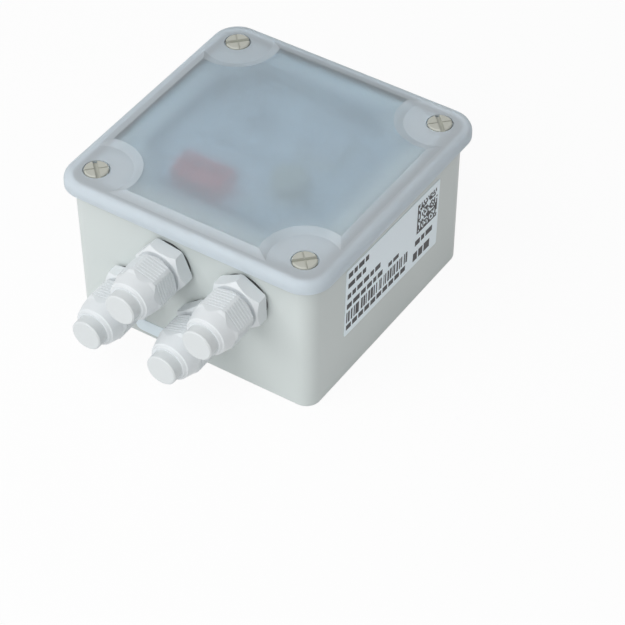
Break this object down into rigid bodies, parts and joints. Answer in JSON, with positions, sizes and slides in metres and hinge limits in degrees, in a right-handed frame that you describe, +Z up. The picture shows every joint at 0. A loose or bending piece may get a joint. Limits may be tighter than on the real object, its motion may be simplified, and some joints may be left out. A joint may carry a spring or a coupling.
{
  "type": "wireless pressure sensor",
  "caption": "Battery radio sensor unit in a square drafted junction box with a frosted screw-down lid, plugged cable glands in a zigzag on the front and a label on the side.",
  "frame": {"origin": "centre of the base's underside, on the floor", "axes": "+Z up, -Y the front wall with the cable glands, +X the side wall with the label"},
  "size_m": [0.118, 0.1455, 0.0688],
  "materials": {
    "base_plastic": "satin moulded",
    "lid_plastic": "frosted translucent",
    "screw_plastic": "satin",
    "gland_plastic": "satin",
    "plug_plastic": "satin",
    "seal_rubber": "matt",
    "insert_rubber": "matt",
    "board": "satin",
    "terminal_plastic": "satin",
    "black_plastic": "satin",
    "steel": "plated",
    "chip": "matt",
    "cell_wrap": "satin",
    "capacitor_wrap": "satin",
    "led": "clear",
    "label": "satin"
  },
  "bodies": {
    "base": {"enclosure_base": "base_plastic", "circuit_board": "board", "board_screws": "steel", "terminal_block": "terminal_plastic", "terminal_screws": "steel", "battery_cell": "cell_wrap", "battery_holder": "black_plastic", "battery_contacts": "steel", "radio_module": "board", "radio_shield": "steel", "aerial": "steel", "controller_chip": "chip", "small_parts": "chip", "buffer_capacitor": "capacitor_wrap", "mode_button_body": "black_plastic", "status_led": "led", "side_label": "label", "port_label": "label", "gland_a_body": "gland_plastic", "gland_a_wall_seal": "seal_rubber", "gland_a_lock_nut": "gland_plastic", "gland_b_body": "gland_plastic", "gland_b_wall_seal": "seal_rubber", "gland_b_lock_nut": "gland_plastic", "gland_c_body": "gland_plastic", "gland_c_wall_seal": "seal_rubber", "gland_c_lock_nut": "gland_plastic", "gland_d_body": "gland_plastic", "gland_d_wall_seal": "seal_rubber", "gland_d_lock_nut": "gland_plastic"},
    "lid": {"lid": "lid_plastic", "lid_seal": "seal_rubber"},
    "mode_button": {"mode_button_cap": "gland_plastic"},
    "lid_screw_front_left": {"lid_screw_front_left": "screw_plastic"},
    "lid_screw_front_right": {"lid_screw_front_right": "screw_plastic"},
    "lid_screw_rear_left": {"lid_screw_rear_left": "screw_plastic"},
    "lid_screw_rear_right": {"lid_screw_rear_right": "screw_plastic"},
    "gland_a_insert": {"gland_a_insert": "insert_rubber"},
    "gland_a_cap_nut": {"gland_a_cap_nut": "gland_plastic"},
    "gland_a_plug": {"gland_a_plug": "plug_plastic"},
    "gland_b_insert": {"gland_b_insert": "insert_rubber"},
    "gland_b_cap_nut": {"gland_b_cap_nut": "gland_plastic"},
    "gland_b_plug": {"gland_b_plug": "plug_plastic"},
    "gland_c_insert": {"gland_c_insert": "insert_rubber"},
    "gland_c_cap_nut": {"gland_c_cap_nut": "gland_plastic"},
    "gland_c_plug": {"gland_c_plug": "plug_plastic"},
    "gland_d_insert": {"gland_d_insert": "insert_rubber"},
    "gland_d_cap_nut": {"gland_d_cap_nut": "gland_plastic"},
    "gland_d_plug": {"gland_d_plug": "plug_plastic"}
  },
  "joints": [
    {"name": "lid_lift", "type": "slide", "parent": "base", "child": "lid", "axis": [0, 0, 1], "range_m": [0, 0.05]},
    {"name": "lid_screw_front_left_turn", "type": "hinge", "parent": "lid", "child": "lid_screw_front_left", "pos_m": [-0.0468, -0.0468, 0.066], "axis": [0, 0, -1], "range_deg": [0, 90]},
    {"name": "lid_screw_front_right_turn", "type": "hinge", "parent": "lid", "child": "lid_screw_front_right", "pos_m": [0.0468, -0.0468, 0.066], "axis": [0, 0, -1], "range_deg": [0, 90]},
    {"name": "lid_screw_rear_left_turn", "type": "hinge", "parent": "lid", "child": "lid_screw_rear_left", "pos_m": [-0.0468, 0.0468, 0.066], "axis": [0, 0, -1], "range_deg": [0, 90]},
    {"name": "lid_screw_rear_right_turn", "type": "hinge", "parent": "lid", "child": "lid_screw_rear_right", "pos_m": [0.0468, 0.0468, 0.066], "axis": [0, 0, -1], "range_deg": [0, 90]},
    {"name": "gland_a_insert_travel", "type": "slide", "parent": "base", "child": "gland_a_insert", "axis": [0, -0.9998, -0.0175], "range_m": [0, 0.003]},
    {"name": "gland_a_nut_turn", "type": "hinge", "parent": "gland_a_insert", "child": "gland_a_cap_nut", "pos_m": [-0.0258, -0.06622, 0.02379], "axis": [0, -0.9998, -0.0175], "range_deg": [0, 720]},
    {"name": "gland_a_plug_pull", "type": "slide", "parent": "gland_a_insert", "child": "gland_a_plug", "axis": [0, -0.9998, -0.0175], "range_m": [0, 0.02]},
    {"name": "gland_b_insert_travel", "type": "slide", "parent": "base", "child": "gland_b_insert", "axis": [0, -0.9998, -0.0175], "range_m": [0, 0.003]},
    {"name": "gland_b_nut_turn", "type": "hinge", "parent": "gland_b_insert", "child": "gland_b_cap_nut", "pos_m": [-0.0086, -0.0666, 0.04579], "axis": [0, -0.9998, -0.0175], "range_deg": [0, 720]},
    {"name": "gland_b_plug_pull", "type": "slide", "parent": "gland_b_insert", "child": "gland_b_plug", "axis": [0, -0.9998, -0.0175], "range_m": [0, 0.02]},
    {"name": "gland_c_insert_travel", "type": "slide", "parent": "base", "child": "gland_c_insert", "axis": [0, -0.9998, -0.0175], "range_m": [0, 0.003]},
    {"name": "gland_c_nut_turn", "type": "hinge", "parent": "gland_c_insert", "child": "gland_c_cap_nut", "pos_m": [0.0086, -0.06622, 0.02379], "axis": [0, -0.9998, -0.0175], "range_deg": [0, 720]},
    {"name": "gland_c_plug_pull", "type": "slide", "parent": "gland_c_insert", "child": "gland_c_plug", "axis": [0, -0.9998, -0.0175], "range_m": [0, 0.02]},
    {"name": "gland_d_insert_travel", "type": "slide", "parent": "base", "child": "gland_d_insert", "axis": [0, -0.9998, -0.0175], "range_m": [0, 0.003]},
    {"name": "gland_d_nut_turn", "type": "hinge", "parent": "gland_d_insert", "child": "gland_d_cap_nut", "pos_m": [0.0258, -0.0666, 0.04579], "axis": [0, -0.9998, -0.0175], "range_deg": [0, 720]},
    {"name": "gland_d_plug_pull", "type": "slide", "parent": "gland_d_insert", "child": "gland_d_plug", "axis": [0, -0.9998, -0.0175], "range_m": [0, 0.02]},
    {"name": "mode_button_press", "type": "slide", "parent": "base", "child": "mode_button", "axis": [0, 0, -1], "range_m": [0, 0.0005], "stiffness_N_per_m": 400}
  ],
  "couplings": [
    {"joint": "gland_a_insert_travel", "follows": "gland_a_nut_turn", "m_per_rad": 0.0002387},
    {"joint": "gland_b_insert_travel", "follows": "gland_b_nut_turn", "m_per_rad": 0.0002387},
    {"joint": "gland_c_insert_travel", "follows": "gland_c_nut_turn", "m_per_rad": 0.0002387},
    {"joint": "gland_d_insert_travel", "follows": "gland_d_nut_turn", "m_per_rad": 0.0002387}
  ]
}
